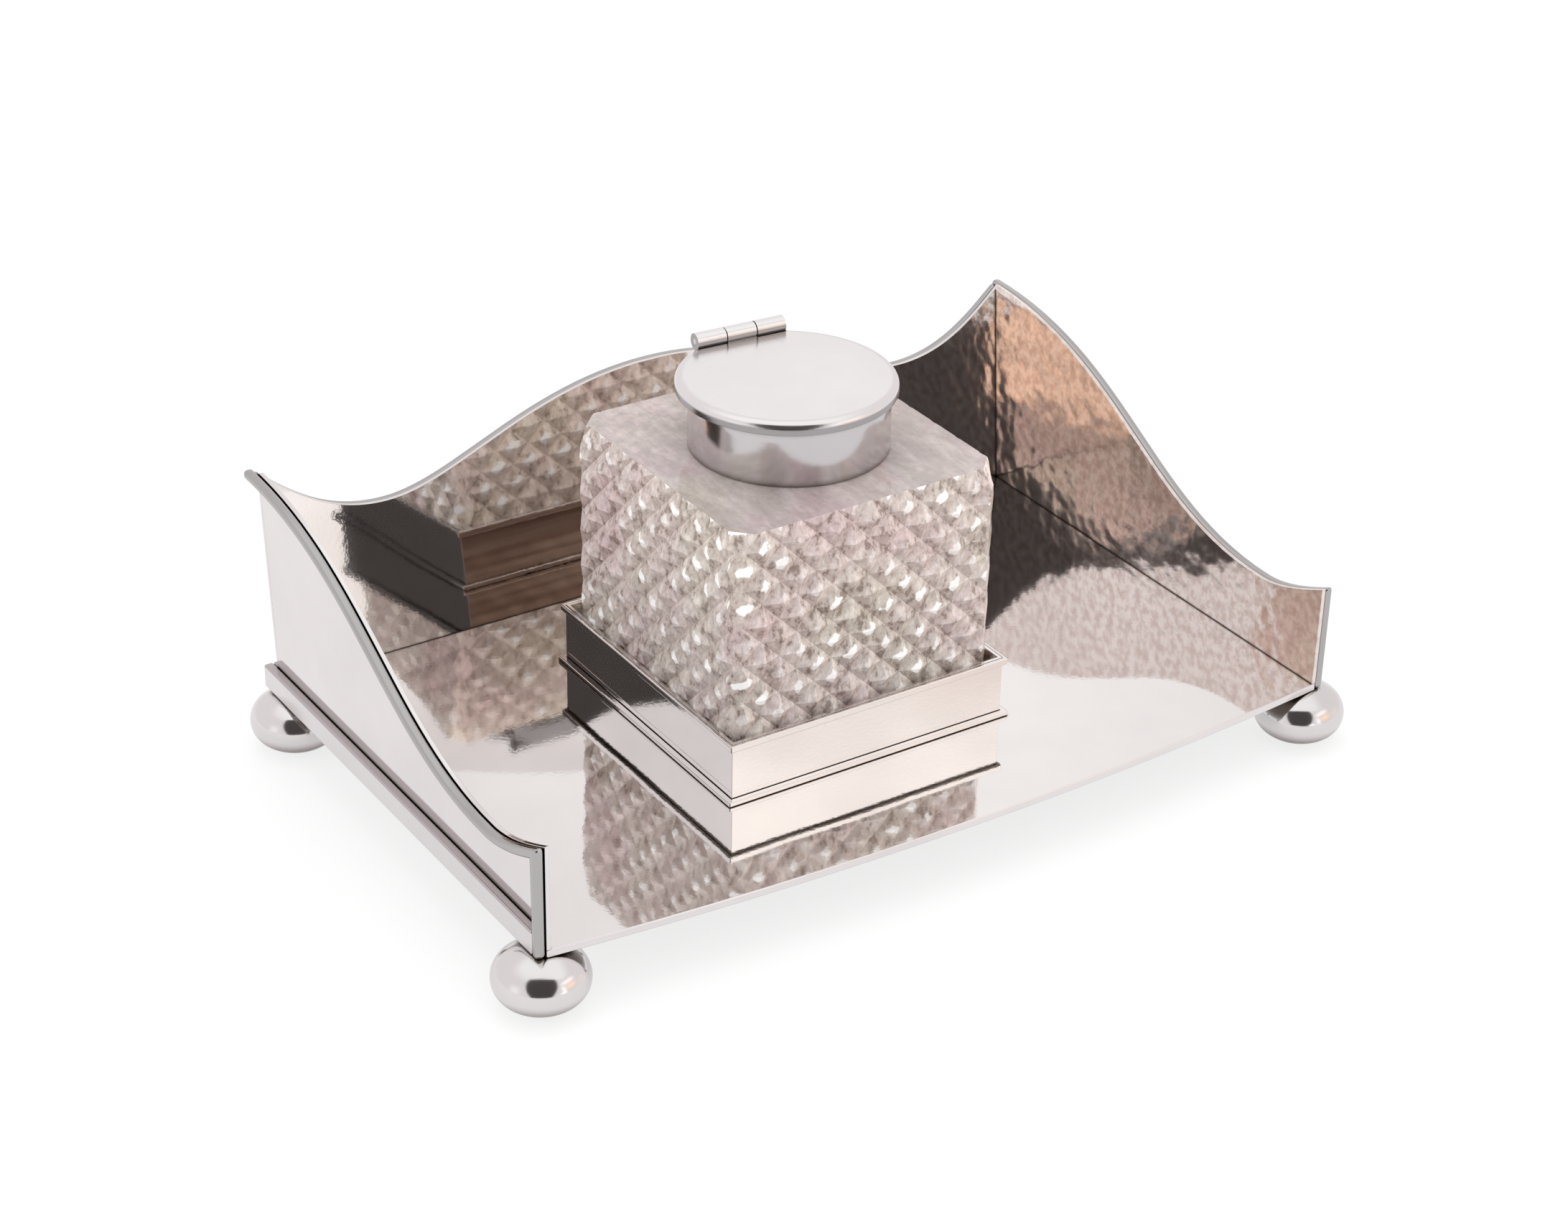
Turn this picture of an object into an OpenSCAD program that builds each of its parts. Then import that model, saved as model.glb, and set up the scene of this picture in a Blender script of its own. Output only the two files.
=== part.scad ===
// Desk inkstand: footed tray with a shaped gallery, a square holder and a lidded cut glass ink bottle.
// Origin on the desk below the middle of the whole outline. X to the right, Y to the back, Z up.

/* [Tray] */
// Clear width between the side walls
tray_w = 200; // [170:1:240]
// Clear depth at the floor, corner to corner
tray_d = 122.4; // [108:0.2:150]
// Forward bow of the floor's front edge
front_bow = 5.5; // [2:0.1:12]
// Thickness of the floor sheet
floor_t = 1.8; // [1.2:0.1:3]
// Thickness of the wall sheet
wall_t = 1; // [0.8:0.1:2]
// Backward lean of the back wall in degrees
back_lean = 5; // [0:0.5:8]

/* [Wall outline] */
// Height of the side walls' front tips
tip_h = 24.8; // [21:0.1:30]
// Height of the side walls at their lowest point
valley_h = 18.2; // [14:0.1:20]
// Distance from the front edge back to that lowest point
valley_y = 21.2; // [16:0.1:30]
// Height where the side walls meet the back wall
corner_h = 51.6; // [46:0.1:58]
// Height of the back wall's middle hump
hump_h = 55.3; // [50:0.1:62]
// Height of the two dips in the back wall
dip_h = 37.5; // [32:0.1:42]
// Distance of each dip from the nearer end of the back wall
dip_in = 30.5; // [26:0.5:36]
// Distance the side curves would run on behind the floor before they level off
crest_out = 8; // [6:0.5:12]

/* [Edge trim] */
// Width of the wire along the wall edges, outwards from the sheet
wire_w = 2.4; // [1.6:0.1:3.2]
// Depth of the wire below the wall edge
wire_h = 2.2; // [1.5:0.1:3]
// Width of the moulding around the foot of the walls
skirt_w = 2.3; // [1.5:0.1:3]
// Height of that moulding above the floor
skirt_h = 4; // [3:0.1:6]

/* [Feet] */
// Diameter of the flattened ball feet
foot_d = 20.8; // [18:0.2:24]
// Height of the floor sheet's underside above the desk
foot_h = 13.8; // [13:0.1:16]
// Radius of each foot's side, seen from the side
foot_side = 5.6; // [4.5:0.1:6]
// Depth of the flat each foot stands on
foot_flat = 0.2; // [0.1:0.05:0.5]
// Depth of the flat each foot has against the floor sheet
foot_seat = 0.4; // [0.2:0.1:0.8]
// Inset of the front feet from the walls' outer faces
front_foot_in_x = 0.7; // [0:0.1:8]
// Inset of the front feet from the front corners
front_foot_in_y = 3.85; // [3:0.05:12]
// Inset of the back feet from the walls' outer faces
back_foot_in_x = 2.4; // [0:0.1:10]
// Inset of the back feet from the back wall's outer face at the floor
back_foot_in_y = 3.1; // [0:0.1:8]

/* [Bottle] */
// Width of the square glass across its flats
glass_w = 69; // [60:0.5:72]
// Width of the cut across each upright corner, measured along a side
glass_corner = 4; // [2:0.5:6]
// Height of the glass to its flat top
glass_h = 63; // [56:0.5:70]
// Height of the sloping cut below the flat top
shoulder_h = 6.2; // [4:0.1:8]
// Depth of the last, flatter part of that cut
brow_drop = 0.4; // [0.2:0.1:0.8]
// Narrowing of each side down to where that part begins
brow_in = 1.3; // [0.8:0.1:2]
// Width of the flat top across its flats
top_w = 52; // [48:0.5:54]
// Width of the cut across each corner of the flat top, measured along a side
top_corner = 8; // [6:0.5:10]
// Distance between neighbouring diamonds along a row
diamond_w = 9; // [8:0.5:14]
// Depth of the diamond cuts
diamond_d = 1.5; // [0.8:0.1:2]
// Radius of the round ink chamber
chamber_r = 24; // [18:0.5:25]
// Thickness of the glass below the ink chamber
glass_bottom = 9; // [6:0.5:12]
// Radius of the opening through the neck
mouth_r = 15; // [12:0.5:17]
// Radius of the glass neck
neck_r = 19.2; // [18.5:0.1:20]
// Height of the glass neck above the flat top
neck_h = 9; // [6:0.5:9.5]
// Thickness of the plaster between the neck and the collar, at the neck's sides
plaster_t = 2.1; // [2:0.1:3]
// Thickness of the collar sheet
collar_t = 0.9; // [0.6:0.1:1.2]
// Height of the collar
collar_h = 12.7; // [12.2:0.1:18]
// Distance of the collar's middle in front of the bottle's
collar_front = 1.4; // [0:0.1:1.4]
// Turn of the collar and lid on the bottle in degrees
mount_turn = 4; // [0:1:10]

/* [Holder] */
// Offset of the holder to the left of the tray's middle
holder_left = 4.9; // [0:0.1:10]
// Offset of the holder to the back of the tray's middle
holder_back = 1.1; // [0:0.1:8]
// Clearance around the glass inside the holder
holder_gap = 0.3; // [0.2:0.05:1]
// Thickness of the holder sheet
holder_t = 0.8; // [0.6:0.1:1.2]
// Height of the holder
holder_h = 14.8; // [10:0.1:20]
// Height of the lip around the holder's top
lip_h = 1.6; // [1:0.1:3]
// Projection of the lip
lip_w = 0.9; // [0.5:0.1:2]
// Height of the flange around the holder's foot
flange_h = 1.2; // [0.8:0.1:2]
// Projection of the flange
flange_w = 1.4; // [0.8:0.1:2.5]

/* [Lid] */
// Overhang of the lid past the collar
lid_over = 2.2; // [1.8:0.1:2.8]
// Height of the lid
lid_t = 2.8; // [2.4:0.1:3.4]
// Thickness of the lid's top over its hollow underside
lid_sheet = 1.2; // [0.8:0.1:1.5]
// Width of the rounded shoulder around the lid
shoulder_in = 2.1; // [1:0.1:2.3]
// Height of that shoulder
shoulder_up = 1.6; // [0.8:0.1:2]
// Depth of the ring below the lid
bezel_h = 2.6; // [2:0.1:3]
// Clearance between that ring and the collar
bezel_gap = 0.5; // [0.4:0.1:0.8]
// Thickness of that ring
bezel_t = 0.8; // [0.6:0.1:1.2]
// Length of the hinge
hinge_w = 22; // [20:0.5:24]
// Distance of the hinge's axis inside the lid's edge
hinge_in = 2.4; // [2.2:0.1:2.8]
// Height of the hinge's axis above the lid
hinge_up = 1; // [0.6:0.1:1.4]
// Depth of the hinge bracket below the lid
bracket_drop = 2.5; // [1.5:0.1:4]
// Radius of the hinge knuckles
knuckle_r = 1.9; // [1.6:0.1:2]
// Radius of the hinge pin
pin_r = 0.8; // [0.6:0.05:0.9]
// Radial clearance of the pin in the lid's knuckle
pin_gap = 0.04; // [0.02:0.01:0.1]
// Clearance between knuckles
knuckle_gap = 0.2; // [0.15:0.05:0.4]

/* [Hidden] */
$fn = 96;
eps = 0.01;
slack = 1;
far = 400;
curve_n = 28;
post_i = 4;
shoulder_n = 8;

// Pulls of the outline's curves at each end, as parts of the way across and up to the other end
tip_pull = [0.283, 0.424];
valley_front_pull = [0.33, 0];
valley_back_pull = [0.4, 0];
crest_pull = [0.49, 0];
hump_pull = [0.47, 0];
dip_inner_pull = [0.26, 0];
dip_outer_pull = [0.459, 0];
corner_pull = [0.262, 0.482];

half_w = tray_w / 2;
half_d = tray_d / 2;
wall_x = half_w + wall_t;
trim_x = wall_x + wire_w;
sheet_back = wall_t / cos(back_lean);
wall_y = half_d + sheet_back;
floor_z = foot_h + floor_t;

foot_r = foot_d / 2;
foot_half = (foot_flat + foot_h + foot_seat) / 2;
// Radius of a foot's flatter top and bottom, and the radius at which the side takes over from them
foot_crown = (pow(foot_r - foot_side, 2) + pow(foot_half, 2) - pow(foot_side, 2))
    / (2 * (foot_half - foot_side));
foot_join = (foot_r - foot_side) * foot_crown / (foot_crown - foot_side);
front_foot_x = wall_x - front_foot_in_x;
front_foot_y = -half_d + front_foot_in_y;
back_foot_x = wall_x - back_foot_in_x;
back_foot_y = wall_y - back_foot_in_y;

// Middle of the outline in depth, between the bowed edge or the front feet and the back feet
middle_y = (back_foot_y + foot_r + min(-half_d - front_bow, front_foot_y - foot_r)) / 2;
bow_r = (wall_x * wall_x + front_bow * front_bow) / (2 * front_bow);

bottle_x = -holder_left;
bottle_y = holder_back;
glass_b = glass_w / 2;
socket_b = glass_b + holder_gap;
frame_b = socket_b + holder_t;
shoulder_z = glass_h - shoulder_h;
brow_z = glass_h - brow_drop;
brow_b = glass_b - brow_in;
top_b = top_w / 2;

collar_z = glass_h + collar_h;
collar_r = neck_r + plaster_t + collar_t;
lid_r = collar_r + lid_over;
lid_z = collar_z + lid_t;
bezel_r = collar_r - collar_t - bezel_gap;
hinge_y = lid_r - hinge_in;
hinge_z = lid_z + hinge_up;
hinge_front = hinge_y - knuckle_r;
knuckle_w = hinge_w / 3;

// Point on a cubic curve through a and d with the handles b and c
function bez(a, b, c, d, t) = pow(1 - t, 3) * a + 3 * pow(1 - t, 2) * t * b
    + 3 * (1 - t) * t * t * c + pow(t, 3) * d;
function slope(a, b, c, d, t) = 3 * pow(1 - t, 2) * (b - a) + 6 * (1 - t) * t * (c - b)
    + 3 * t * t * (d - c);
function right_of(v) = [v[1], -v[0]] / norm(v);
function pulled(a, d, part) = [a[0] + part[0] * (d[0] - a[0]), a[1] + part[1] * (d[1] - a[1])];
function curve(a, d, pull_a, pull_d) = [a, pulled(a, d, pull_a), pulled(d, a, pull_d), d];

// Each curve is four points, the middle two its handles. Side curves run from front to back, gallery
// curves from the middle outwards.
tip = [-half_d, tip_h];
valley = [-half_d + valley_y, valley_h];
crest = [half_d + crest_out, corner_h];
side_curves = [curve(tip, valley, tip_pull, valley_front_pull),
    curve(valley, crest, valley_back_pull, crest_pull)];
hump = [0, hump_h];
dip = [wall_x - dip_in, dip_h];
corner = [wall_x, corner_h];
gallery_curves = [curve(hump, dip, hump_pull, dip_inner_pull),
    curve(dip, corner, dip_outer_pull, corner_pull)];

function along(curves, drop) = [for (c = curves) for (i = [0 : curve_n])
    if (i > 0 || c == curves[0])
        bez(c[0], c[1], c[2], c[3], i / curve_n)
            + drop * right_of(slope(c[0], c[1], c[2], c[3], i / curve_n))];
function flip(list) = [for (i = [len(list) - 1 : -1 : 0]) list[i]];
function mirrored(list) = [for (p = list) [-p[0], p[1]]];

side_top = along(side_curves, 0);
side_low = along(side_curves, wire_h);
gallery_half_top = along(gallery_curves, 0);
gallery_half_low = along(gallery_curves, wire_h);

// Lays a drawing of Y and Z down as a plate from x0 to x1
module upright(x0, x1) {
    translate([x0, 0, 0]) rotate([90, 0, 90]) linear_extrude(height = x1 - x0) children();
}

// Leans a drawing of X and Z back with the back wall, from y0 to y1 off its inner face
module leaning(y0, y1) {
    translate([0, half_d, 0]) rotate([-back_lean, 0, 0])
        translate([0, y1, 0]) rotate([90, 0, 0]) linear_extrude(height = y1 - y0) children();
}

// The space in front of a plane that leans with the back wall, y off its inner face at the floor
module before_back(y, front, low) {
    upright(-far / 2, far / 2) polygon([[-front, low], [y + low * tan(back_lean), low],
        [y + far * tan(back_lean), far], [-front, far]]);
}

module on_tray() {
    translate([0, -middle_y, floor_z]) children();
}

module on_bottle() {
    on_tray() translate([bottle_x, bottle_y, 0]) children();
}

module on_mount() {
    on_bottle() rotate([0, 0, -mount_turn]) children();
}

module on_collar(z) {
    translate([0, -collar_front, z]) children();
}

module base_plate() {
    color([0.86, 0.86, 0.88]) on_tray() intersection() {
        translate([-wall_x, -half_d - front_bow - slack, -floor_t])
            cube([2 * wall_x, half_d + front_bow + slack + wall_y, floor_t]);
        translate([0, bow_r - half_d - front_bow, -floor_t - slack])
            cylinder(r = bow_r, h = floor_t + 2 * slack, $fn = 720);
    }
}

module side_wall(x0) {
    color([0.84, 0.84, 0.86]) on_tray() intersection() {
        upright(x0, x0 + wall_t) polygon(concat(side_top, [[crest[0], 0], [-half_d, 0]]));
        before_back(half_d, half_d, 0);
    }
}

module left_wall() {
    side_wall(-wall_x);
}

module right_wall() {
    side_wall(half_w);
}

module gallery_sheet(top) {
    polygon(concat(flip(mirrored(top)), top, [[wall_x, -slack], [-wall_x, -slack]]));
}

module back_wall() {
    color([0.84, 0.84, 0.86]) on_tray() intersection() {
        leaning(0, wall_t) gallery_sheet([for (p = gallery_half_top) if (p[0] > 0) p]);
        translate([-wall_x, 0, 0]) cube([2 * wall_x, far, far]);
    }
}

module side_edge_wire(x0) {
    color([0.8, 0.8, 0.82]) on_tray() intersection() {
        union() {
            upright(x0, x0 + wire_w) polygon(concat(side_top, flip(side_low)));
            upright(x0, x0 + wire_w) polygon([[-half_d, -floor_t], [-half_d + wire_h, -floor_t],
                side_top[post_i] - [0, eps], side_top[0]]);
        }
        before_back(half_d + (wall_t + wire_w) / cos(back_lean), half_d, -floor_t);
    }
}

module left_edge_wire() {
    side_edge_wire(-trim_x);
}

module right_edge_wire() {
    side_edge_wire(wall_x);
}

module back_edge_wire() {
    color([0.8, 0.8, 0.82]) on_tray() intersection() {
        leaning(wall_t, wall_t + wire_w) polygon(concat(
            flip(mirrored(gallery_half_top)), [for (p = gallery_half_top) if (p[0] > 0) p],
            flip(gallery_half_low), [for (p = mirrored(gallery_half_low)) if (p[0] < 0) p]));
        translate([-wall_x, 0, 0]) cube([2 * wall_x, far, far]);
    }
}

module side_skirt(x0) {
    back = wall_y + skirt_h * tan(back_lean) + skirt_w;
    color([0.78, 0.78, 0.8]) on_tray()
        translate([x0, -half_d + wire_h, -floor_t])
            cube([skirt_w, back + half_d - wire_h, floor_t + skirt_h]);
}

module left_skirt() {
    side_skirt(-wall_x - skirt_w);
}

module right_skirt() {
    side_skirt(wall_x);
}

module back_skirt() {
    lean_y = skirt_h * tan(back_lean);
    outer_y = wall_y + lean_y + skirt_w;
    color([0.78, 0.78, 0.8]) on_tray() upright(-wall_x, wall_x)
        polygon([[wall_y, -floor_t], [outer_y, -floor_t], [outer_y, skirt_h],
            [wall_y + lean_y, skirt_h], [wall_y, 0]]);
}

// Half of a flattened ball, from its axis outwards
module foot_outline() {
    intersection() {
        square([foot_r, foot_h]);
        translate([0, foot_half - foot_flat]) union() {
            translate([foot_r - foot_side, 0]) circle(r = foot_side);
            intersection() {
                translate([0, foot_crown - foot_half]) circle(r = foot_crown);
                translate([0, foot_half - foot_crown]) circle(r = foot_crown);
                translate([0, -foot_half]) square([foot_join, 2 * foot_half]);
            }
        }
    }
}

module foot(x, y) {
    color([0.82, 0.82, 0.84]) translate([x, y - middle_y, 0]) rotate_extrude() foot_outline();
}

module foot_front_left() {
    foot(-front_foot_x, front_foot_y);
}

module foot_front_right() {
    foot(front_foot_x, front_foot_y);
}

module foot_back_left() {
    foot(-back_foot_x, back_foot_y);
}

module foot_back_right() {
    foot(back_foot_x, back_foot_y);
}

module square_ring(outer, inner, z0, z1) {
    translate([0, 0, z0]) difference() {
        translate([-outer, -outer, 0]) cube([2 * outer, 2 * outer, z1 - z0]);
        translate([-inner, -inner, -slack]) cube([2 * inner, 2 * inner, z1 - z0 + 2 * slack]);
    }
}

module holder_frame() {
    color([0.85, 0.84, 0.84]) on_bottle() square_ring(frame_b, socket_b, 0, holder_h);
}

module holder_lip() {
    color([0.88, 0.87, 0.87]) on_bottle() square_ring(frame_b + lip_w, frame_b, holder_h - lip_h, holder_h);
}

module holder_flange() {
    color([0.88, 0.87, 0.87]) on_bottle() square_ring(frame_b + flange_w, frame_b, 0, flange_h);
}

// Rounded blank of the bottle in one direction: b is half its width, then at the brow and at the flat top
module blank(b, brow, top) {
    rotate([90, 0, 0]) linear_extrude(height = far, center = true)
        polygon([[-b, 0], [b, 0], [b, shoulder_z], [brow, brow_z], [top, glass_h],
            [-top, glass_h], [-brow, brow_z], [-b, shoulder_z]]);
}

// Sheet with a saw tooth on both faces, its teeth running at 45 degrees
module saw_sheet(turn) {
    step = diamond_w / sqrt(2);
    n = ceil(glass_w / step);
    top = [for (i = [-n : n]) for (k = [0, 1]) [(i + k / 2) * step, glass_b - k * diamond_d]];
    translate([0, 0, glass_h / 2]) rotate([0, turn, 0]) linear_extrude(height = far, center = true)
        polygon(concat(top, flip([for (p = top) [p[0], -p[1]]])));
}

module glass_bottle() {
    diagonal = [(glass_w - glass_corner) / sqrt(2), (2 * brow_b - glass_corner) / sqrt(2),
        (top_w - top_corner) / sqrt(2)];
    color([0.9, 0.88, 0.88, 0.5]) on_bottle() difference() {
        union() {
            intersection() {
                blank(glass_b, brow_b, top_b);
                rotate([0, 0, 90]) blank(glass_b, brow_b, top_b);
                rotate([0, 0, 45]) blank(diagonal[0], diagonal[1], diagonal[2]);
                rotate([0, 0, -45]) blank(diagonal[0], diagonal[1], diagonal[2]);
                saw_sheet(45);
                saw_sheet(-45);
                rotate([0, 0, 90]) saw_sheet(45);
                rotate([0, 0, 90]) saw_sheet(-45);
            }
            translate([0, 0, glass_h - slack]) cylinder(r = neck_r, h = neck_h + slack);
        }
        translate([0, 0, glass_bottom + chamber_r]) sphere(r = chamber_r);
        translate([0, 0, glass_bottom + chamber_r]) cylinder(r = mouth_r, h = far);
    }
}

module ring(outer, inner, h) {
    difference() {
        cylinder(r = outer, h = h);
        translate([0, 0, -slack]) cylinder(r = inner, h = h + 2 * slack);
    }
}

module neck_plaster() {
    color([0.93, 0.92, 0.88]) on_mount() difference() {
        on_collar(glass_h) cylinder(r = collar_r - collar_t, h = neck_h);
        cylinder(r = neck_r, h = far);
    }
}

module collar() {
    color([0.82, 0.82, 0.84]) on_mount() on_collar(glass_h) ring(collar_r, collar_r - collar_t, collar_h);
}

// A length of round bar along the hinge's axis
module hinge_bar(x0, x1, r) {
    translate([x0, hinge_y, hinge_z]) rotate([0, 90, 0]) cylinder(r = r, h = x1 - x0, $fn = 48);
}

// A block of the hinge across its length w, from y0 back to the lid's outline and from z0 up to z1
module hinge_block(w, y0, z0, z1) {
    intersection() {
        translate([-w / 2, y0, z0]) cube([w, lid_r, z1 - z0]);
        cylinder(r = lid_r, h = far);
    }
}

module hinge_bracket() {
    room_w = knuckle_w + 2 * knuckle_gap;
    color([0.8, 0.8, 0.82]) on_mount() difference() {
        union() {
            hinge_block(hinge_w, 0, collar_z - bracket_drop, collar_z);
            hinge_block(hinge_w, hinge_front, collar_z - eps, lid_z);
            hinge_bar(-hinge_w / 2, hinge_w / 2, knuckle_r);
        }
        on_collar(0) cylinder(r = collar_r, h = collar_z);
        translate([-room_w / 2, 0, collar_z]) cube([room_w, hinge_y + knuckle_gap, far]);
        hinge_bar(-room_w / 2, room_w / 2, knuckle_r + knuckle_gap);
        hinge_bar(-hinge_w, hinge_w, pin_r);
    }
}

module hinge_pin() {
    color([0.76, 0.76, 0.78]) on_mount() hinge_bar(-hinge_w / 2, hinge_w / 2, pin_r);
}

module lid_plate() {
    notch_w = hinge_w + 2 * knuckle_gap;
    shoulder = [for (i = [0 : shoulder_n]) [lid_r - shoulder_in * (1 - cos(90 * i / shoulder_n)),
        lid_t - shoulder_up * (1 - sin(90 * i / shoulder_n))]];
    color([0.87, 0.87, 0.88]) on_mount() difference() {
        translate([0, 0, collar_z]) rotate_extrude()
            polygon(concat([[0, 0], [lid_r, 0]], shoulder, [[0, lid_t]]));
        on_collar(collar_z - slack) cylinder(r = bezel_r - bezel_t, h = lid_t - lid_sheet + slack);
        translate([-notch_w / 2, hinge_front - knuckle_gap, collar_z - slack]) cube([notch_w, lid_r, far]);
    }
}

module lid_bezel() {
    color([0.84, 0.84, 0.86]) on_mount() on_collar(collar_z - bezel_h)
        ring(bezel_r, bezel_r - bezel_t, bezel_h);
}

module lid_knuckle() {
    front = hinge_front - knuckle_gap;
    color([0.8, 0.8, 0.82]) on_mount() difference() {
        union() {
            translate([-knuckle_w / 2, front, collar_z]) cube([knuckle_w, hinge_y - front, lid_t]);
            hinge_bar(-knuckle_w / 2, knuckle_w / 2, knuckle_r);
        }
        hinge_bar(-hinge_w, hinge_w, pin_r + pin_gap);
    }
}

base_plate();
left_wall();
right_wall();
back_wall();
left_edge_wire();
right_edge_wire();
back_edge_wire();
left_skirt();
right_skirt();
back_skirt();
foot_front_left();
foot_front_right();
foot_back_left();
foot_back_right();
holder_frame();
holder_lip();
holder_flange();
glass_bottle();
neck_plaster();
collar();
hinge_bracket();
hinge_pin();
lid_plate();
lid_bezel();
lid_knuckle();
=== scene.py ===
import math

import bmesh
import bpy
from mathutils import Matrix, Vector


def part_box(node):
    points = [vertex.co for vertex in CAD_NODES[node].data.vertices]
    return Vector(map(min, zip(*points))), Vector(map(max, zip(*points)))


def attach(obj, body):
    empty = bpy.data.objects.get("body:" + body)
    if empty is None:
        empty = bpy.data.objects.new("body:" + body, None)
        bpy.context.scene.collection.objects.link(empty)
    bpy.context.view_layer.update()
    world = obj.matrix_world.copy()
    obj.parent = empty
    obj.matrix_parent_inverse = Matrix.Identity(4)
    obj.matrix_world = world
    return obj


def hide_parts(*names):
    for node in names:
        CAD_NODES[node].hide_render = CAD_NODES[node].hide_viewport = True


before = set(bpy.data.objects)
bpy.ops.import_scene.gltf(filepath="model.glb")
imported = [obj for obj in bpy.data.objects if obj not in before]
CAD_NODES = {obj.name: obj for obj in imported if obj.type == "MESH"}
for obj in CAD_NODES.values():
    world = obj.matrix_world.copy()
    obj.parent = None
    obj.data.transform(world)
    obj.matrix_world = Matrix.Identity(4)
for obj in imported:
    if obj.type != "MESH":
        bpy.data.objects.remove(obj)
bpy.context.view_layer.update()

MM = 0.001

# ---------------------------------------------------------------- sizes in millimetres, as in the CAD source
COLLAR_T = 0.9
BEZEL_T = 0.8
GLASS_H = 63.0
DIAMOND_W = 9.0
FOOT_SIDE = 5.6
FOOT_FLAT = 0.2
FOOT_SEAT = 0.4

# The middle of the front edge, where the walls end on the tray's floor
FRONT = Vector((0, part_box("left_wall")[0].y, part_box("base_plate")[1].z))

# What the lamps and cards are aimed at, in metres
AIM = Vector((0, 0, 0.04))

# ---------------------------------------------------------------- camera, fitted to the photograph
PHOTO_W = 2184
FOCAL_PX = 4574.55
SENSOR_W = 36.0
# Where it looks, in degrees: clockwise from +Y seen from above, down from level, and its roll
CAMERA_AZIMUTH = 33.667
CAMERA_DOWN = 29.277
CAMERA_ROLL = 1.237
# Its place, in millimetres from FRONT
CAMERA_PLACE = Vector((-360.969, -473.025, 382.022))


def camera():
    azimuth, down, roll = (math.radians(v) for v in (CAMERA_AZIMUTH, CAMERA_DOWN, CAMERA_ROLL))
    level = math.cos(down)
    look = Vector((math.sin(azimuth) * level, math.cos(azimuth) * level, -math.sin(down)))
    right = Vector((math.cos(azimuth), -math.sin(azimuth), 0))
    up = right.cross(look)
    rolled_right = math.cos(roll) * right + math.sin(roll) * up
    rolled_up = -math.sin(roll) * right + math.cos(roll) * up
    data = bpy.data.cameras.new("camera")
    data.sensor_fit = "HORIZONTAL"
    data.sensor_width = SENSOR_W
    data.lens = SENSOR_W * FOCAL_PX / PHOTO_W
    data.clip_start = 0.01
    cam = bpy.data.objects.new("camera", data)
    turn = Matrix((rolled_right, rolled_up, -look)).transposed().to_4x4()
    cam.matrix_world = Matrix.Translation(FRONT + CAMERA_PLACE * MM) @ turn
    bpy.context.scene.collection.objects.link(cam)
    bpy.context.scene.camera = cam


camera()


# ---------------------------------------------------------------- node trees
class Nodes:
    """Short hand for building the node tree of a material or world."""

    def __init__(self, owner):
        owner.use_nodes = True
        self.tree = owner.node_tree

    def add(self, kind, **settings):
        node = self.tree.nodes.new(kind)
        for key, value in settings.items():
            setattr(node, key, value)
        return node

    def link(self, a, b):
        self.tree.links.new(a, b)

    def texture_coord(self, kind):
        """The texture coordinate of that kind, such as Object or Normal."""
        return self.add("ShaderNodeTexCoord").outputs[kind]

    def coords(self, scale=(1, 1, 1)):
        """Places in the piece's coordinates, multiplied by the scale."""
        turn = self.add("ShaderNodeMapping")
        turn.inputs["Scale"].default_value = scale
        self.link(self.texture_coord("Object"), turn.inputs["Vector"])
        return turn.outputs["Vector"]

    def split(self, vector):
        node = self.add("ShaderNodeSeparateXYZ")
        self.link(vector, node.inputs[0])
        return node.outputs["X"], node.outputs["Y"], node.outputs["Z"]

    def facing(self):
        """The surface's own direction, as x, y and z, in the piece's coordinates."""
        return self.split(self.texture_coord("Normal"))

    def noise(self, vector, scale, detail=2.0, rough=0.5):
        node = self.add("ShaderNodeTexNoise")
        node.inputs["Scale"].default_value = scale
        node.inputs["Detail"].default_value = detail
        node.inputs["Roughness"].default_value = rough
        self.link(vector, node.inputs["Vector"])
        return node.outputs["Fac"]

    def ramp(self, value, stops):
        node = self.add("ShaderNodeValToRGB")
        ramp = node.color_ramp
        while len(ramp.elements) < len(stops):
            ramp.elements.new(0.5)
        for element, (at, colour) in zip(ramp.elements, stops):
            element.position = at
            element.color = (*colour, 1)
        self.link(value, node.inputs["Fac"])
        return node.outputs["Color"]

    def between(self, value, low, high):
        """A value from 0 to 1, spread from low to high."""
        node = self.add("ShaderNodeMapRange")
        node.inputs["To Min"].default_value = low
        node.inputs["To Max"].default_value = high
        self.link(value, node.inputs["Value"])
        return node.outputs["Result"]

    def step(self, value, start, end):
        """0 at the start value and 1 at the end value, with a smooth rise between."""
        node = self.add("ShaderNodeMapRange", interpolation_type="SMOOTHSTEP")
        node.inputs["From Min"].default_value = start
        node.inputs["From Max"].default_value = end
        self.link(value, node.inputs["Value"])
        return node.outputs["Result"]

    def math(self, operation, a, b=0.0):
        node = self.add("ShaderNodeMath", operation=operation)
        for socket, value in zip(node.inputs, (a, b)):
            if isinstance(value, (int, float)):
                socket.default_value = value
            else:
                self.link(value, socket)
        return node.outputs[0]

    def product(self, a, b):
        return self.math("MULTIPLY", a, b)

    def absolute(self, value):
        return self.math("ABSOLUTE", value)

    def less(self, value, share=1.0):
        """What is left of 1 after that share of the value."""
        return self.math("SUBTRACT", 1.0, self.product(value, share))

    def mix(self, factor, a, b, blend="MIX"):
        node = self.add("ShaderNodeMix", data_type="RGBA", blend_type=blend)
        for name, value in (("Factor", factor), ("A", a), ("B", b)):
            if isinstance(value, (int, float)):
                node.inputs[name].default_value = value
            elif isinstance(value, tuple):
                node.inputs[name].default_value = (*value, 1)
            else:
                self.link(value, node.inputs[name])
        return node.outputs["Result"]

    def tint(self, tone, by):
        return self.mix(1.0, tone, by, "MULTIPLY")


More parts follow.
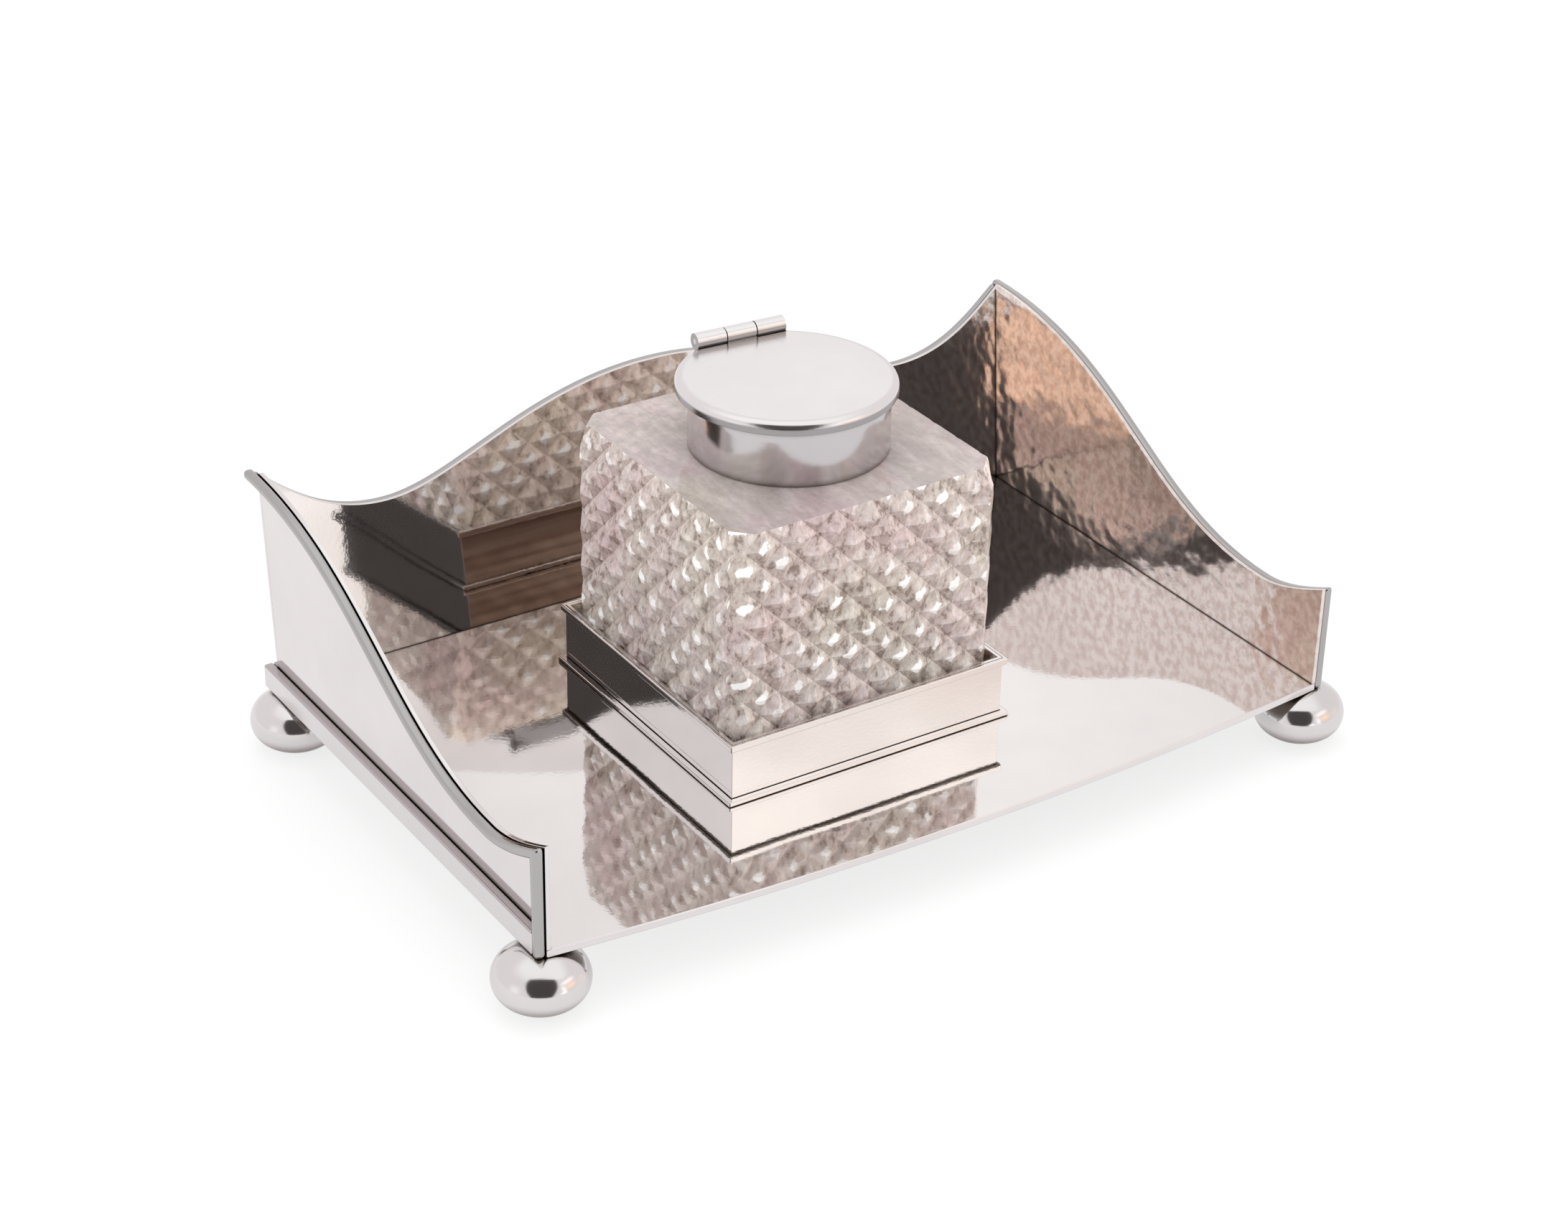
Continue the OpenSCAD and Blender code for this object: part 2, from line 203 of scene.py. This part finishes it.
class Material(Nodes):
    """A node tree with its material, that material's own shader and its output."""

    def __init__(self, name):
        self.mat = bpy.data.materials.new(name)
        super().__init__(self.mat)
        self.bsdf = self.tree.nodes["Principled BSDF"]
        self.out = self.tree.nodes["Material Output"]

    def seam_shade_and_tarnish(self, reach):
        """Painted shade with some real tarnish: 1 deep in the seams between pieces and 0 a little way out of
        them.
        """
        node = self.add("ShaderNodeAmbientOcclusion", samples=6)
        node.inputs["Distance"].default_value = reach * MM
        return self.step(node.outputs["AO"], 0.8, 0.48)

    def bump(self, height, strength, distance, after=None):
        node = self.add("ShaderNodeBump")
        node.inputs["Strength"].default_value = strength
        node.inputs["Distance"].default_value = distance
        self.link(height, node.inputs["Height"])
        if after is not None:
            self.link(after, node.inputs["Normal"])
        return node.outputs["Normal"]

    def glow(self, factor, colour, strength, base):
        """Shows the base shader where the factor is 0 and plain light where it is 1."""
        light = self.add("ShaderNodeEmission")
        light.inputs["Strength"].default_value = strength
        if isinstance(colour, tuple):
            light.inputs["Color"].default_value = (*colour, 1)
        else:
            self.link(colour, light.inputs["Color"])
        both = self.add("ShaderNodeMixShader")
        self.link(factor, both.inputs["Fac"])
        self.link(base.outputs[0], both.inputs[1])
        self.link(light.outputs[0], both.inputs[2])
        self.link(both.outputs[0], self.out.inputs["Surface"])


# ---------------------------------------------------------------- silver
SILVER_TONE = (0.90, 0.88, 0.87)
# A dark tone for tarnish and painted shade in the seams, and for painted shade on undersides
TARNISH_AND_PAINTED_SHADE = (0.15, 0.12, 0.10)
# Brown streaks painted on the back as a reflection
PAINTED_BACK_STREAKS = [(0.3, (0.34, 0.21, 0.155)), (0.7, (0.58, 0.42, 0.33))]
WORN = 0.93
SCRATCH_DEPTH = 0.00002


def silver(name, colour, rough, wave, scratch, stretch=(1, 1, 1), wave_scale=22.0, warm_patches=None,
           seam=0.8, seam_tone=TARNISH_AND_PAINTED_SHADE, shade=None, under=1.0, painted_back_streaks=False):
    """Polished silver: a slow wave that bends what it mirrors, fine scratches, haze, and painted shade and
    tarnish in the seams.

    rough is a low and a high roughness, wave is a depth in metres, and seam is the width of the seam shade
    in millimetres.
    A warm tone may be given for patches on the side that looks towards -X. shade is a painted dark
    reflection for a range of slopes, given as the start and end of that range (1 looks straight up) and the
    tone. under is how much painted shade the underside gets, darker and less metallic, and the last flag
    paints a brown, streaky reflection, less metallic too, on the side towards +Y.
    """
    m = Material(name)
    at = m.coords()
    facing = m.facing()
    worn = tuple(c * WORN for c in colour)
    tone = m.ramp(m.noise(at, 35.0, 4.0), [(0.3, worn), (0.65, colour)])
    # A warm tone in patches on the side that looks towards -X
    if warm_patches:
        inside = m.step(facing[0], 0.2, -0.2)
        patches = m.step(m.noise(at, 420.0, 4.0, 0.6), 0.62, 0.36)
        tone = m.mix(m.product(inside, patches), tone, warm_patches)
    # Painted dark reflection on faces within a range of slopes
    if shade:
        start, end, shade_tone = shade
        tone = m.mix(m.step(facing[2], start, end), tone, shade_tone)
    # Painted shade on the underside: a darker tone and less metal
    dull = m.product(m.step(facing[2], -0.1, -0.85), under)
    tone = m.mix(dull, tone, TARNISH_AND_PAINTED_SHADE)
    # Painted reflection: the side towards +Y turns brown, streaky and less metallic
    if painted_back_streaks:
        behind = m.step(facing[1], 0.5, 0.9)
        streaks = m.ramp(m.noise(m.coords((0.1, 1, 3)), 160.0, 3.0), PAINTED_BACK_STREAKS)
        tone = m.mix(behind, tone, streaks)
        dull = m.math("MAXIMUM", dull, behind)
    m.link(m.less(dull, 0.6), m.bsdf.inputs["Metallic"])
    # Painted shade with some real tarnish darkens the seams
    m.link(m.mix(m.seam_shade_and_tarnish(seam), tone, seam_tone), m.bsdf.inputs["Base Color"])
    m.link(m.between(m.noise(at, 60.0, 3.0), *rough), m.bsdf.inputs["Roughness"])
    slow = m.bump(m.noise(at, wave_scale, 1.0), 1.0, wave)
    fine = m.noise(m.coords(stretch), 900.0, 2.0)
    m.link(m.bump(fine, scratch, SCRATCH_DEPTH, slow), m.bsdf.inputs["Normal"])
    return m.mat


TRAY = silver("silver_tray_polish", SILVER_TONE, (0.02, 0.07), 0.0003, 0.25, seam=1.0)
WAVY = silver("silver_wall_polish", (0.96, 0.90, 0.86), (0.07, 0.14), 0.00022, 0.4, wave_scale=160.0,
              warm_patches=(0.72, 0.61, 0.57), seam=1.0)
# The wire's darker tone is painted shade, for the dark things its round face mirrors
WIRE = silver("silver_wire_polish", (0.52, 0.515, 0.51), (0.08, 0.18), 0.0003, 0.4, seam=2.0)
# The skirt gets a painted dark reflection on its upward faces and a wide painted shade in its seams
SKIRT = silver("silver_skirt_polish", (0.84, 0.82, 0.82), (0.1, 0.2), 0.0003, 0.4, seam=4.0,
               seam_tone=(0.40, 0.37, 0.37), shade=(0.05, 0.45, (0.58, 0.54, 0.55)))
# The holder's back gets the painted brown reflection
HOLDER = silver("silver_holder_polish", SILVER_TONE, (0.03, 0.09), 0.00025, 0.3, seam=0.5, painted_back_streaks=True)
MOUNT = silver("silver_mount_polish", (0.68, 0.665, 0.67), (0.1, 0.2), 0.0004, 0.4, seam=2.6, under=0.0)
# The lid gets a painted dark reflection on its rim
LID = silver("silver_lid_polish", (0.90, 0.885, 0.885), (0.14, 0.26), 0.0004, 0.9, (1, 0.15, 1), seam=0.5,
             shade=(0.4, 0.1, (0.42, 0.41, 0.41)))
BALL = silver("silver_ball_polish", (0.84, 0.825, 0.82), (0.08, 0.17), 0.0003, 0.25, seam=1.6)

# ---------------------------------------------------------------- glass and plaster
WHITE = (1.0, 1.0, 1.0)
GLASS_IOR = 1.52
# Painted light and shade on the glass by the way a face looks: darker facing down, lighter facing up, and a
# tone of its own at the back and on the flat top
PAINTED_SHADE_CUT = (0.80, 0.695, 0.655)
PAINTED_LIGHT_CUT = (0.92, 0.825, 0.79)
PAINTED_BACK_LIGHT_CUT = (0.95, 0.81, 0.725)
FLAT_TOP = (0.92, 0.815, 0.80)
# Painted glint: the near white of a patch of gathered light on some diamonds
GLINT = (1.0, 0.99, 0.98)
# Fine dots in the glass, partly grain and partly painted sparkle brighter than white
SPECKS_AND_PAINTED_SPARKLE = [(0.36, (0.48, 0.43, 0.40)), (0.45, (0.88, 0.84, 0.82)), (0.56, WHITE), (0.64, (1.2, 1.2, 1.19))]
# Streaks on the flat top with painted highlights brighter than white
TOP_STREAKS_AND_PAINTED_HIGHLIGHTS = [(0.36, (0.88, 0.87, 0.87)), (0.5, WHITE), (0.66, (1.26, 1.26, 1.26))]
TINTS = [(0.35, (1.0, 0.92, 0.96)), (0.5, WHITE), (0.65, (0.97, 1.0, 0.94))]
PLASTER_TONES = [(0.3, (0.72, 0.69, 0.64)), (0.7, (0.85, 0.83, 0.78))]

# The cell whose middle is the middle of a side, counted along either slanting row of diamonds
MIDDLE_CELL = 20
# A glint's half sizes along the two rows, how far it lies off the middle and its soft edge, in cells
GLINT_HALVES = (0.27, 0.16)
GLINT_SLANT = 0.04
GLINT_EDGE = 0.06


def diamond_glints(m, at, facing, patch):
    """Painted glints: a small uneven patch of painted light on some of the cut diamonds, slanting with the
    cut.
    """
    low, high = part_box("glass_bottle")
    x, y, z = facing
    at_x, at_y, at_z = m.split(at)
    across_x = m.math("SUBTRACT", at_x, (low.x + high.x) / 2)
    across_y = m.math("SUBTRACT", at_y, (low.y + high.y) / 2)
    side = m.math("GREATER_THAN", m.absolute(x), m.absolute(y))
    across = m.math("ADD", m.product(across_y, side), m.product(across_x, m.less(side)))
    up = m.math("SUBTRACT", at_z, FRONT.z + GLASS_H / 2 * MM)
    cells = []
    for sign in (1, -1):
        along = m.math("ADD", across, m.product(up, sign))
        cells.append(m.math("ADD", m.math("DIVIDE", along, DIAMOND_W * MM), MIDDLE_CELL + 0.5))
    which = m.add("ShaderNodeCombineXYZ")
    for cell, socket in zip(cells, which.inputs):
        m.link(m.math("FLOOR", cell), socket)
    chance = m.add("ShaderNodeTexWhiteNoise", noise_dimensions="3D")
    m.link(which.outputs[0], chance.inputs["Vector"])
    uneven = m.product(m.math("SUBTRACT", m.noise(at, 330.0, 2.0), 0.5), 0.5)
    glint = m.product(m.step(patch, 0.36, 0.56), m.step(chance.outputs["Value"], 0.1, 0.4))
    for cell, sign, half in zip(cells, (1, -1), GLINT_HALVES):
        within = m.math("ADD", m.math("FRACT", cell), uneven)
        off = m.absolute(m.math("SUBTRACT", within, 0.5 + GLINT_SLANT * sign))
        glint = m.product(glint, m.step(off, half, half - GLINT_EDGE))
    return m.product(glint, m.step(m.absolute(z), 0.5, 0.4))


def cut_glass():
    """Old cut glass: the cuts get painted light and shade by the way they face, with painted glints and
    sparkle, through a little haze.
    """
    m = Material("cut_glass_clear")
    at = m.coords()
    facing = m.facing()
    patch = m.noise(at, 38.0, 2.0)
    glint = diamond_glints(m, at, facing, patch)
    flat_top = m.step(facing[2], 0.8, 0.95)
    behind = m.math("MAXIMUM", m.step(facing[1], 0.1, 0.6), m.step(facing[0], 0.1, 0.6))
    # Painted light and shade by the way each face looks
    tone = m.mix(m.step(facing[2], -0.12, 0.12), PAINTED_SHADE_CUT, PAINTED_LIGHT_CUT)
    tone = m.mix(behind, tone, PAINTED_BACK_LIGHT_CUT)
    tone = m.mix(flat_top, tone, FLAT_TOP)
    # Fine grain with painted sparkle
    specks_and_sparkle = m.ramp(m.noise(m.coords((1, 1, 0.6)), 560.0, 3.0, 0.7), SPECKS_AND_PAINTED_SPARKLE)
    # Streaks with painted highlights on the flat top
    streaks = m.ramp(m.noise(m.coords((1, 0.35, 1)), 300.0, 4.0, 0.7), TOP_STREAKS_AND_PAINTED_HIGHLIGHTS)
    specks_and_sparkle = m.mix(m.product(flat_top, 0.85), specks_and_sparkle, streaks)
    tone = m.tint(m.tint(tone, specks_and_sparkle), m.ramp(patch, TINTS))
    # Painted glints in the colour
    m.link(m.mix(glint, tone, GLINT), m.bsdf.inputs["Base Color"])
    clear = m.between(m.noise(at, 260.0, 2.0), 0.2, 0.6)
    clear = m.product(clear, m.less(behind, 0.7))
    clear = m.math("MAXIMUM", clear, m.product(flat_top, 0.58))
    m.link(m.product(clear, m.less(glint, 0.8)), m.bsdf.inputs["Transmission Weight"])
    m.bsdf.inputs["IOR"].default_value = GLASS_IOR
    m.bsdf.inputs["Roughness"].default_value = 0.03
    m.link(m.bump(m.noise(at, 520.0, 3.0), 0.3, 0.0002), m.bsdf.inputs["Normal"])
    return m.mat


def plaster():
    """Matt plaster with a fine grain."""
    m = Material("plaster_white")
    at = m.coords()
    m.link(m.ramp(m.noise(at, 300.0, 4.0), PLASTER_TONES), m.bsdf.inputs["Base Color"])
    m.bsdf.inputs["Roughness"].default_value = 0.9
    m.link(m.bump(m.noise(at, 900.0, 3.0), 0.6, 0.0002), m.bsdf.inputs["Normal"])
    return m.mat


GLASS = cut_glass()
PLASTER = plaster()


# ---------------------------------------------------------------- pieces made from the CAD's own solids
SAME_POINT = 1e-6  # metres
SAME_PLANE = 0.6  # degrees


def paint(obj, mat):
    obj.data.materials.clear()
    obj.data.materials.append(mat)


def put(name, mesh, sharp, mat, body, node):
    """The mesh as a piece that rides on the body in the node's place, smooth up to sharp degrees."""
    mesh.shade_smooth()
    mesh.set_sharp_from_angle(angle=math.radians(sharp))
    obj = bpy.data.objects.new(name, mesh)
    bpy.context.scene.collection.objects.link(obj)
    paint(obj, mat)
    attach(obj, body)
    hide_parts(node)
    return obj


def dress(node, name, mat, body, bevel=0.0, segments=3, sharp=30):
    """A finished piece in a node's place: coplanar faces joined, edges rounded, smooth where it curves.

    bevel is the rounding in millimetres, and edges sharper than sharp degrees get it.
    """
    mesh = CAD_NODES[node].data.copy()
    mesh.name = name
    bm = bmesh.new()
    bm.from_mesh(mesh)
    bmesh.ops.remove_doubles(bm, verts=bm.verts, dist=SAME_POINT)
    bmesh.ops.dissolve_limit(bm, angle_limit=math.radians(SAME_PLANE), verts=bm.verts, edges=bm.edges)
    bm.to_mesh(mesh)
    bm.free()
    for key in ("custom_normal", "sharp_face", "sharp_edge"):
        if key in mesh.attributes:
            mesh.attributes.remove(mesh.attributes[key])
    obj = put(name, mesh, sharp, mat, body, node)
    if bevel:
        mod = obj.modifiers.new("rounding", "BEVEL")
        mod.width = bevel * MM
        mod.segments = segments
        mod.limit_method = "ANGLE"
        mod.angle_limit = math.radians(sharp)
        mod.harden_normals = True


for side in ("left", "right", "back"):
    dress(side + "_wall", side + "_wall_sheet", WAVY if side == "right" else TRAY, "tray", 0.12, 2)
    dress(side + "_edge_wire", side + "_edge_wire_round", WIRE, "tray", 1.0, 5)
    dress(side + "_skirt", side + "_skirt_moulding", SKIRT, "tray", 0.6, 4)
dress("base_plate", "base_plate_sheet", TRAY, "tray", 0.25)
dress("holder_frame", "holder_frame_sheet", HOLDER, "tray", 0.1, 2)
dress("holder_lip", "holder_lip_moulding", HOLDER, "tray", 0.3)
dress("holder_flange", "holder_flange_moulding", HOLDER, "tray", 0.3)
dress("glass_bottle", "glass_bottle_cut", GLASS, "bottle", sharp=14)
dress("lid_plate", "lid_disc", LID, "lid", 0.25)
dress("hinge_bracket", "hinge_bracket_knuckles", LID, "bottle", 0.1, 2)
dress("lid_knuckle", "lid_knuckle_leaf", LID, "lid", 0.1, 2)
dress("hinge_pin", "hinge_pin_rod", MOUNT, "bottle", 0.1, 2)
paint(CAD_NODES["neck_plaster"], PLASTER)


# ---------------------------------------------------------------- turned pieces, in millimetres
ON_AXIS = 1e-6  # a smaller radius is a point on the axis
TURNED_SHARP = 40  # degrees
FOOT_STEPS = 96


def turned(name, profile, centre, mat, body, node, steps=128):
    """A closed ring or disc turned from a profile of (radius, height) points."""
    bm = bmesh.new()
    rings = []
    for r, z in profile:
        if r < ON_AXIS:
            rings.append([bm.verts.new((centre[0] * MM, centre[1] * MM, z * MM))])
        else:
            rings.append([bm.verts.new(((centre[0] + r * math.cos(2 * math.pi * i / steps)) * MM,
                                        (centre[1] + r * math.sin(2 * math.pi * i / steps)) * MM, z * MM))
                          for i in range(steps)])
    closed = profile[0][0] > ON_AXIS
    pairs = list(zip(rings, rings[1:])) + ([(rings[-1], rings[0])] if closed else [])
    for a, b in pairs:
        for i in range(steps):
            j = (i + 1) % steps
            if len(a) == 1:
                bm.faces.new((a[0], b[i], b[j]))
            elif len(b) == 1:
                bm.faces.new((a[i], b[0], a[j]))
            else:
                bm.faces.new((a[i], b[i], b[j], a[j]))
    bmesh.ops.recalc_face_normals(bm, faces=bm.faces)
    mesh = bpy.data.meshes.new(name)
    bm.to_mesh(mesh)
    bm.free()
    put(name, mesh, TURNED_SHARP, mat, body, node)


def arc(cr, cz, r, a0, a1, n):
    return [(cr + r * math.cos(math.radians(a0 + (a1 - a0) * i / n)),
             cz + r * math.sin(math.radians(a0 + (a1 - a0) * i / n))) for i in range(n + 1)]


def ring_place(node):
    """Centre, outer radius, underside and top of an upright round node in the frame."""
    low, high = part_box(node)
    centre = ((low.x + high.x) / 2 / MM, (low.y + high.y) / 2 / MM)
    return centre, (high.x - low.x) / 2 / MM, low.z / MM, high.z / MM


def foot(name, node):
    """A flattened ball: a rounded side between a flatter top and bottom, cut flat at both ends."""
    centre, radius, _, height = ring_place(node)
    half = (height + FOOT_FLAT + FOOT_SEAT) / 2
    out = radius - FOOT_SIDE
    crown = (out ** 2 + half ** 2 - FOOT_SIDE ** 2) / (2 * (half - FOOT_SIDE))
    middle = half - FOOT_FLAT
    join = math.degrees(math.acos(out / (crown - FOOT_SIDE)))
    lower = math.degrees(math.asin((crown - FOOT_FLAT) / crown))
    upper = math.degrees(math.asin((crown - FOOT_SEAT) / crown))
    profile = (arc(0, middle + crown - half, crown, -lower, -join, 12)
               + arc(out, middle, FOOT_SIDE, -join, join, 28)[1:]
               + arc(0, middle + half - crown, crown, join, upper, 12)[1:])
    turned(name, [(0, 0)] + profile + [(0, height)], centre, BALL, "tray", node, FOOT_STEPS)


def collar():
    """The ring on the neck, its top edge rounded and its foot a little drawn in."""
    centre, outer, under, top = ring_place("collar")
    inner = outer - COLLAR_T
    brow_r = 0.4
    foot_in, foot_up, inner_up = 0.2, 0.15, 0.1
    side_h = top - under - brow_r - foot_up
    turned("collar_ring", [(inner, under + inner_up), (outer - foot_in, under), (outer, under + foot_up)]
           + [(outer, under + foot_up + side_h * i / 6) for i in range(1, 6)]
           + arc(outer - brow_r, top - brow_r, brow_r, 0, 90, 5) + [(inner, top)],
           centre, MOUNT, "bottle", "collar")


def bezel():
    """The ring below the lid, both lower edges chamfered."""
    centre, outer, under, top = ring_place("lid_bezel")
    inner = outer - BEZEL_T
    chamfer = 0.2
    turned("lid_bezel_ring", [(outer, top), (outer, under + chamfer), (outer - chamfer, under),
                              (inner + chamfer, under), (inner, under + chamfer), (inner, top)],
           centre, MOUNT, "lid", "lid_bezel")


for corner in ("front_left", "front_right", "back_left", "back_right"):
    foot("foot_ball_" + corner, "foot_" + corner)
collar()
bezel()


# ---------------------------------------------------------------- stage: floor, cards, lamps and world
DESK_HALF = 6  # metres
# The room as mirrors and glass show it, and as it lights the object
ROOM = (0.83, 0.79, 0.795)
ROOM_LIGHT = (0.95, 0.94, 0.94)
DESK_IN_MIRRORS = (0.80, 0.77, 0.78)
DARK = (0.07, 0.062, 0.061)
DESK_GLOW = 0.8  # share of the desk that is plain light, the rest takes shadow
CARD_REACH = 1.1  # metres
CARD_HALF = 0.5  # half a card in its own coordinates, before it is scaled


def sheet(name, half, mat):
    """A flat square in its own XY plane."""
    mesh = bpy.data.meshes.new(name)
    corners = [(-half, -half, 0), (half, -half, 0), (half, half, 0), (-half, half, 0)]
    mesh.from_pydata(corners, [], [(0, 1, 2, 3)])
    obj = bpy.data.objects.new(name, mesh)
    bpy.context.scene.collection.objects.link(obj)
    paint(obj, mat)
    return obj


def desk_material():
    """White to the camera and pale in mirrors, with the object's soft shadow kept."""
    m = Material("desk_white")
    m.bsdf.inputs["Base Color"].default_value = (0.9, 0.9, 0.9, 1)
    m.bsdf.inputs["Roughness"].default_value = 0.9
    m.bsdf.inputs["Specular IOR Level"].default_value = 0.1
    path = m.add("ShaderNodeLightPath").outputs
    mirrored = m.math("MAXIMUM", path["Is Glossy Ray"], path["Is Transmission Ray"])
    seen = m.math("MAXIMUM", mirrored, path["Is Camera Ray"])
    tone = m.mix(path["Is Camera Ray"], DESK_IN_MIRRORS, WHITE)
    m.glow(m.product(seen, DESK_GLOW), tone, 1.0, m.bsdf)
    return m.mat


def card_material(name, colour, strength, soft, rounded):
    """Even light that fades out at the card's edges."""
    m = Material(name)
    x, y, _ = m.split(m.texture_coord("Object"))
    if rounded:
        out = m.math("SQRT", m.math("ADD", m.math("POWER", x, 2.0), m.math("POWER", y, 2.0)))
        shape = m.step(out, CARD_HALF, CARD_HALF - soft)
    else:
        shape = m.product(*[m.step(m.absolute(v), CARD_HALF, CARD_HALF - soft) for v in (x, y)])
    m.glow(shape, colour, strength, m.add("ShaderNodeBsdfTransparent"))
    return m.mat


def card(name, centre, facing, size, colour, strength, soft=0.2, rounded=False):
    """A card off camera that only mirrors and glass see. Size is its width and height in metres."""
    obj = sheet(name, CARD_HALF, card_material(name + "_glow", colour, strength, soft, rounded))
    turn = Vector(facing).to_track_quat("Z", "Y").to_matrix().to_4x4()
    obj.matrix_world = Matrix.Translation(centre) @ turn @ Matrix.Diagonal((size[0], size[1], 1, 1))
    obj.visible_camera = False
    obj.visible_shadow = False
    obj.visible_diffuse = False


def card_at(name, azimuth, elevation, wide, high, colour, strength, soft=0.2, rounded=False):
    """A card placed by angles in degrees, as the object sees it: its direction, width and height.

    The azimuth is clockwise from +Y, seen from above.
    """
    a, e = math.radians(azimuth), math.radians(elevation)
    out = Vector((math.sin(a) * math.cos(e), math.cos(a) * math.cos(e), math.sin(e)))
    size = [2 * CARD_REACH * math.tan(math.radians(v) / 2) for v in (wide, high)]
    card(name, out * CARD_REACH + AIM, -out, size, colour, strength, soft, rounded)


def lamp(name, centre, size, power, colour=(1, 1, 1)):
    """A soft square lamp aimed at the object. Mirrors don't show it."""
    light = bpy.data.lights.new(name, "AREA")
    light.shape = "RECTANGLE"
    light.size, light.size_y = size, size
    light.energy = power
    light.color = colour
    obj = bpy.data.objects.new(name, light)
    obj.location = centre
    obj.rotation_euler = (AIM - Vector(centre)).to_track_quat("-Z", "Y").to_euler()
    bpy.context.scene.collection.objects.link(obj)
    obj.visible_glossy = False


def studio_world():
    """White to the camera, a pale grey room in mirrors and glass, plain light for everything else."""
    world = bpy.data.worlds.new("studio")
    bpy.context.scene.world = world
    n = Nodes(world)
    path = n.add("ShaderNodeLightPath").outputs
    mirrored = n.math("MAXIMUM", path["Is Glossy Ray"], path["Is Transmission Ray"])
    room = n.mix(mirrored, ROOM_LIGHT, ROOM)
    n.link(n.mix(path["Is Camera Ray"], room, WHITE), n.tree.nodes["Background"].inputs["Color"])


sheet("desk", DESK_HALF, desk_material())
card_at("dark_card", -149, 34, 66, 104, DARK, 1.0, 0.09, rounded=True)
card("dark_mat", (-0.5, -0.76, 0.002), (0, 0, 1), (0.95, 0.9), DARK, 1.0)
card_at("peach_card", 145, 16, 44, 32, (0.98, 0.70, 0.53), 1.3, 0.5)
card_at("cream_card", 145, 35, 44, 20, (1.0, 0.94, 0.90), 1.24, 0.35)
card_at("warm_card", 115, 8, 36, 30, (0.93, 0.84, 0.79), 1.0, 0.4)
card("glint_card", (0.05, -0.5, 0.035), (0, 1, 0), (0.22, 0.07), WHITE, 1.6, 0.5)
card_at("right_box", 164, 12, 16, 44, (1.0, 0.99, 0.98), 1.25, 0.45)
card_at("left_box", -94, 8, 34, 44, (1.0, 0.98, 0.98), 1.0, 0.45)
card_at("back_box", 37, 30, 34, 30, (1.0, 0.975, 0.97), 0.97, 0.4)
card("ceiling_box", (0, 0, 1.3), (0, 0, -1), (2.4, 2.4), (1.0, 0.99, 0.985), 1.0, 0.3)
lamp("top_soft", (0.1, 0.1, 1.6), 1.2, 7)
lamp("key_soft", (-0.2, -1.2, 1.3), 0.7, 3, (1, 0.97, 0.95))
lamp("right_soft", (1.5, -0.3, 0.9), 0.8, 3, (1, 0.95, 0.91))
lamp("back_soft", (0.2, 1.4, 1.3), 0.9, 3, (1, 0.96, 0.93))
lamp("left_soft", (-1.5, -0.1, 0.9), 0.8, 6)
studio_world()

bpy.context.scene.view_settings.view_transform = "Standard"
